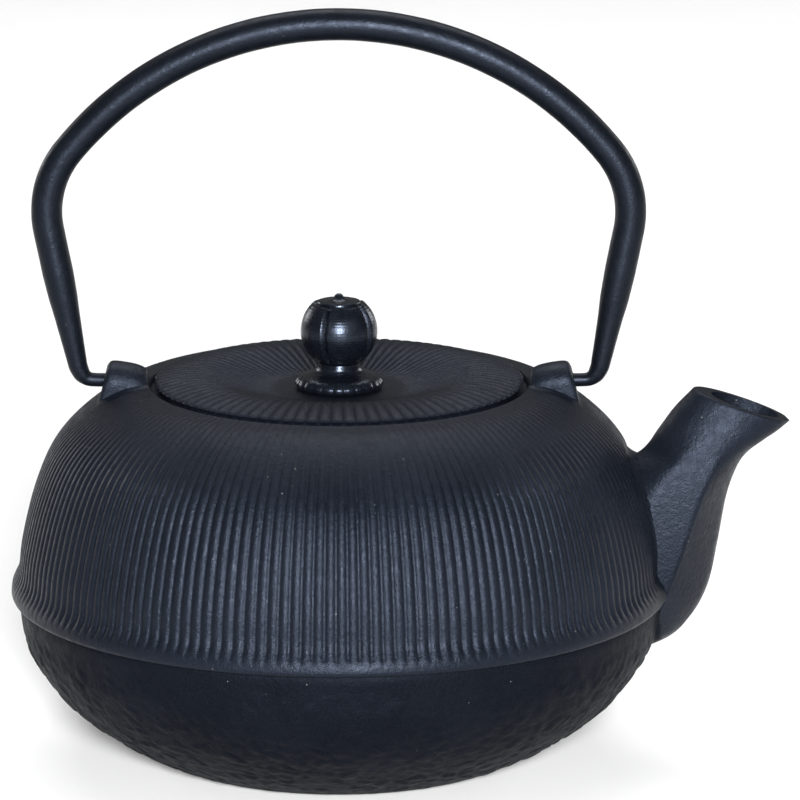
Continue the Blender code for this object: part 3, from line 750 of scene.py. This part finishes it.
def make_infuser_wall(steel):
    """Woven mesh: uprights and hoops that pass in front of and behind each other."""
    hoops = int((WALL_TOP_Z - WALL_BOTTOM_Z) / WEAVE_PITCH)
    wires = []
    steps = hoops * 3 + 1
    z = np.linspace(WALL_BOTTOM_Z, WALL_BOTTOM_Z + hoops * WEAVE_PITCH, steps)
    for k in range(WALL_UPRIGHTS):
        angle = 2 * math.pi * k / WALL_UPRIGHTS
        radial = np.array([math.cos(angle), math.sin(angle), 0.0])
        around = np.array([-math.sin(angle), math.cos(angle), 0.0])
        bow = WIRE_R * np.cos(math.pi * ((z - WALL_BOTTOM_Z) / WEAVE_PITCH - 0.5 + k))
        path = radial * (WEAVE_R + bow)[:, None] + np.array([0.0, 0.0, 1.0]) * z[:, None]
        wires.append(wire(path, np.tile(radial, (steps, 1)), np.tile(around, (steps, 1)), WIRE_R))
    angle = even_angles(WALL_UPRIGHTS * 3)
    radial = np.stack([np.cos(angle), np.sin(angle), np.zeros(len(angle))], axis=1)
    for k in range(hoops):
        height = WALL_BOTTOM_Z + (k + 0.5) * WEAVE_PITCH
        bow = -WIRE_R * np.cos(WALL_UPRIGHTS * angle / 2 + math.pi * k)
        path = radial * (WEAVE_R + bow)[:, None] + np.array([0.0, 0.0, height])
        wires.append(wire(path, radial, np.tile([0.0, 0.0, 1.0], (len(angle), 1)), WIRE_R, closed=True))
    wall = bundle("infuser_mesh_wall", wires)
    return finish_piece(wall, "infuser", [steel], ["infuser_wall"])


def make_infuser_floor(steel):
    """A round piece of the same mesh: two sets of straight wires, woven over and under."""
    wires = []
    lines = np.arange(-23, 24) * WEAVE_PITCH
    for direction in (0, 1):
        for k, offset in enumerate(lines):
            wires.append(floor_wire(direction, k, offset))
    floor = bundle("infuser_mesh_floor", wires)
    return finish_piece(floor, "infuser", [steel], ["infuser_floor"])


def floor_wire(direction, number, offset):
    """One wire of the mesh floor, along X (0) or Y (1), at a distance from the centre."""
    reach = math.sqrt(MESH_FLOOR_R ** 2 - offset ** 2)
    steps = max(int(2 * reach / WEAVE_PITCH * 3), 4)
    run = np.linspace(-reach, reach, steps)
    bow = (1 if direction else -1) * 0.85 * FLOOR_WIRE_R * np.cos(math.pi * (run / WEAVE_PITCH + number))
    path = np.zeros((steps, 3))
    path[:, direction] = run
    path[:, 1 - direction] = offset
    path[:, 2] = MESH_FLOOR_Z + bow
    sideways = np.zeros((steps, 3))
    sideways[:, 1 - direction] = 1.0
    upright = np.tile([0.0, 0.0, 1.0], (steps, 1))
    return wire(path, sideways, upright, FLOOR_WIRE_R)


def make_infuser_rim(steel):
    rim = skin("infuser_rim_ring", revolve(BASKET_RIM, even_angles(TURNED_COLUMNS)), loop=True)
    return finish_piece(rim, "infuser", [steel], ["infuser_rim"], crease=70.0)


def make_infuser_band(steel):
    band = skin("infuser_foot_band", revolve(BASKET_BAND, even_angles(TURNED_COLUMNS)), loop=True)
    return finish_piece(band, "infuser", [steel], ["infuser_band"], crease=70.0)


def make_washer(steel):
    washer = skin("lid_washer", revolve(WASHER, even_angles(FASTENER_COLUMNS)), loop=True)
    return finish_piece(washer, "lid", [steel], ["screw_washer"], crease=40.0)


def make_screw(steel):
    """The pan-head screw, with a slot cut across its head."""
    screw = skin("lid_screw", revolve(SCREW, even_angles(FASTENER_COLUMNS)))
    length, width, height = (size / 2 for size in SLOT_SIZE)
    ring = np.array([(-length, -width), (length, -width), (length, width), (-length, width)])
    levels = (SLOT_Z - height, SLOT_Z + height)
    slot = skin("slot", np.array([[(x, y, z) for x, y in ring] for z in levels]))
    combine(screw, [slot], "DIFFERENCE")
    return finish_piece(screw, "lid", [steel], ["knob_screw"], crease=40.0)


# ---------------------------------------------------------------- materials

class Nodes:
    """A material's node tree, with short ways to add and link nodes."""

    def __init__(self, name):
        self.material = bpy.data.materials.new(name)
        self.material.use_nodes = True
        self.tree = self.material.node_tree
        self.shader = self.tree.nodes["Principled BSDF"]
        self.place = self.add("ShaderNodeTexCoord").outputs["Object"]

    def add(self, kind, **settings):
        node = self.tree.nodes.new(kind)
        for key, value in settings.items():
            setattr(node, key, value)
        return node

    def feed(self, socket, value):
        if isinstance(value, bpy.types.NodeSocket):
            self.tree.links.new(value, socket)
        else:
            socket.default_value = value

    def noise(self, scale, detail=2.0, roughness=0.5):
        node = self.add("ShaderNodeTexNoise")
        self.feed(node.inputs["Vector"], self.place)
        self.feed(node.inputs["Scale"], scale)
        self.feed(node.inputs["Detail"], detail)
        self.feed(node.inputs["Roughness"], roughness)
        return node.outputs["Fac"]

    def spread(self, value, low, high, to_low=0.0, to_high=1.0):
        node = self.add("ShaderNodeMapRange")
        for socket, number in zip(node.inputs[:5], (value, low, high, to_low, to_high)):
            self.feed(socket, number)
        return node.outputs["Result"]

    def math(self, operation, first, second=0.0):
        node = self.add("ShaderNodeMath", operation=operation)
        self.feed(node.inputs[0], first)
        self.feed(node.inputs[1], second)
        return node.outputs["Value"]

    def blend(self, share, first, second):
        node = self.add("ShaderNodeMix", data_type="RGBA")
        self.feed(node.inputs["Factor"], share)
        self.feed(node.inputs["A"], (*first, 1.0) if isinstance(first, tuple) else first)
        self.feed(node.inputs["B"], (*second, 1.0) if isinstance(second, tuple) else second)
        return node.outputs["Result"]

    def bump(self, height, distance, normal=None):
        node = self.add("ShaderNodeBump")
        self.feed(node.inputs["Height"], height)
        self.feed(node.inputs["Distance"], distance)
        if normal is not None:
            self.feed(node.inputs["Normal"], normal)
        return node.outputs["Normal"]


def specks(nodes):
    """Tiny pale grains, in about a fifth of the cells of a fine lattice."""
    cells = nodes.add("ShaderNodeTexVoronoi")
    nodes.feed(cells.inputs["Vector"], nodes.place)
    nodes.feed(cells.inputs["Scale"], SPECK_SCALE)
    near = nodes.spread(cells.outputs["Distance"], 0.035, 0.06, 1.0, 0.0)
    split = nodes.add("ShaderNodeSeparateColor")
    nodes.feed(split.inputs["Color"], cells.outputs["Color"])
    chosen = nodes.spread(split.outputs["Red"], 0.78, 0.82)
    return nodes.math("MULTIPLY", near, chosen)


def cast_iron(name, paint, roughness, grain, specular):
    """Painted cast iron: uneven colour, sandy grain, and paler, smoother paint along raised edges, which is
    partly wear and partly a painted highlight for the key light's glints.
    """
    dark, light, pale_wear_glint_colour = paint
    nodes = Nodes(name)
    patches = nodes.spread(nodes.noise(PATCH_SCALE, 3.0), 0.35, 0.68)
    sand = nodes.noise(SAND_SCALE, 2.0, 0.6)
    pits = nodes.noise(PIT_SCALE, 3.0, 0.55)
    colour = nodes.blend(patches, dark, light)
    colour = nodes.blend(nodes.spread(sand, 0.45, 0.75, 0.0, 0.35), colour, pale_wear_glint_colour)
    # Paler colour on raised edges: partly real wear, partly a painted highlight standing in for the key
    # light's glints on the crests.
    edge = nodes.spread(nodes.add("ShaderNodeNewGeometry").outputs["Pointiness"], 0.53, 0.62)
    wear_and_glint = nodes.math("MULTIPLY", edge, nodes.spread(nodes.noise(WEAR_AND_GLINT_SCALE, 3.0), 0.42, 0.66))
    colour = nodes.blend(nodes.math("MULTIPLY", wear_and_glint, 0.6), colour, pale_wear_glint_colour)
    colour = nodes.blend(nodes.math("MULTIPLY", specks(nodes), 0.5), colour, SPECK_COLOUR)
    nodes.feed(nodes.shader.inputs["Base Color"], colour)
    rough = nodes.spread(nodes.noise(GLOSS_SCALE, 3.0), 0.3, 0.7, roughness - 0.07, roughness + 0.09)
    rough = nodes.math("SUBTRACT", rough, nodes.math("MULTIPLY", wear_and_glint, 0.12))
    nodes.feed(nodes.shader.inputs["Roughness"], rough)
    nodes.feed(nodes.shader.inputs["Specular IOR Level"], specular)
    nodes.feed(nodes.shader.inputs["Specular Tint"], (*GLOSS_TINT, 1.0))
    normal = nodes.bump(pits, grain * 1.6 * MM)
    normal = nodes.bump(sand, grain * MM, normal)
    nodes.feed(nodes.shader.inputs["Normal"], normal)
    return nodes.material


def brushed_steel():
    """Bright steel with fine streaks across its height."""
    nodes = Nodes("stainless")
    stretch = nodes.add("ShaderNodeMapping")
    nodes.feed(stretch.inputs["Vector"], nodes.place)
    stretch.inputs["Scale"].default_value = (1.0, 1.0, BRUSH_STRETCH)
    brushed = nodes.add("ShaderNodeTexNoise")
    nodes.feed(brushed.inputs["Vector"], stretch.outputs["Vector"])
    brushed.inputs["Scale"].default_value = BRUSH_SCALE
    colour = nodes.blend(brushed.outputs["Fac"], *STEEL)
    nodes.feed(nodes.shader.inputs["Base Color"], colour)
    nodes.feed(nodes.shader.inputs["Roughness"], nodes.spread(brushed.outputs["Fac"], 0.3, 0.7, 0.20, 0.36))
    nodes.feed(nodes.shader.inputs["Normal"], nodes.bump(brushed.outputs["Fac"], 0.01 * MM))
    nodes.shader.inputs["Metallic"].default_value = 1.0
    return nodes.material


def floor_paper():
    """Matt white paper, hardly uneven."""
    nodes = Nodes("floor_paper")
    tone = nodes.spread(nodes.noise(PAPER_SCALE, 2.0), 0.3, 0.7)
    nodes.feed(nodes.shader.inputs["Base Color"], nodes.blend(tone, *PAPER))
    nodes.shader.inputs["Roughness"].default_value = 0.9
    return nodes.material


# ---------------------------------------------------------------- studio

def make_camera():
    data = bpy.data.cameras.new("view")
    data.lens = VIEW_LENS
    data.sensor_width = 36.0
    data.clip_end = 50.0
    camera = bpy.data.objects.new("view", data)
    back = Vector((0.0, -math.cos(VIEW_HEIGHT_ANGLE), math.sin(VIEW_HEIGHT_ANGLE)))
    camera.location = VIEW_AIM + back * VIEW_DISTANCE
    camera.rotation_euler = (math.pi / 2 - VIEW_DIP, 0.0, 0.0)
    bpy.context.scene.collection.objects.link(camera)
    bpy.context.scene.camera = camera


def make_softbox(name, place, aim, size, power):
    """A rectangular lamp at a place in metres that faces a point."""
    data = bpy.data.lights.new(name, "AREA")
    data.shape = "RECTANGLE"
    data.size, data.size_y = size
    data.energy = power
    lamp = bpy.data.objects.new(name, data)
    lamp.location = place
    lamp.rotation_euler = (Vector(aim) - Vector(place)).to_track_quat("-Z", "Y").to_euler()
    bpy.context.scene.collection.objects.link(lamp)


def make_floor():
    outline = [(0.5, -0.02), (9000.0, -0.02), (9000.0, -1.0), (0.5, -1.0)]
    floor = skin("floor", revolve(outline, even_angles(96)))
    floor.data.materials.append(floor_paper())


def make_studio():
    """A pale floor under a dim white sky, lit from above, with a strong key beside the view."""
    make_floor()
    world = bpy.data.worlds.new("studio")
    world.use_nodes = True
    background = world.node_tree.nodes["Background"]
    background.inputs["Color"].default_value = (1.0, 1.0, 1.0, 1.0)
    background.inputs["Strength"].default_value = SKY
    bpy.context.scene.world = world
    for lamp in SOFTBOXES:
        make_softbox(*lamp)
    bpy.context.scene.view_settings.view_transform = "Standard"


# ---------------------------------------------------------------- build

make_camera()
make_studio()

pot_iron = cast_iron("pot_iron", POT_PAINT, roughness=0.42, grain=0.10, specular=0.15)
# The bowl's material: a duller cast whose colour is darkened as painted shade.
shaded_bowl_iron = cast_iron("shaded_bowl_iron", SHADED_BOWL_PAINT, roughness=0.52, grain=0.12, specular=0.05)
inner_enamel = cast_iron("inner_enamel", POT_PAINT, roughness=0.34, grain=0.04, specular=0.25)
knob_iron = cast_iron("knob_paint", SMOOTH_PAINT, roughness=0.26, grain=0.03, specular=0.30)
bail_iron = cast_iron("bail_paint", SMOOTH_PAINT, roughness=0.38, grain=0.05, specular=0.15)
steel = brushed_steel()

make_pot(pot_iron, inner_enamel, shaded_bowl_iron)
make_lid(pot_iron)
make_knob_seat(knob_iron)
make_knob(knob_iron)
make_bail(bail_iron)
make_infuser_wall(steel)
make_infuser_floor(steel)
make_infuser_rim(steel)
make_infuser_band(steel)
make_washer(steel)
make_screw(steel)
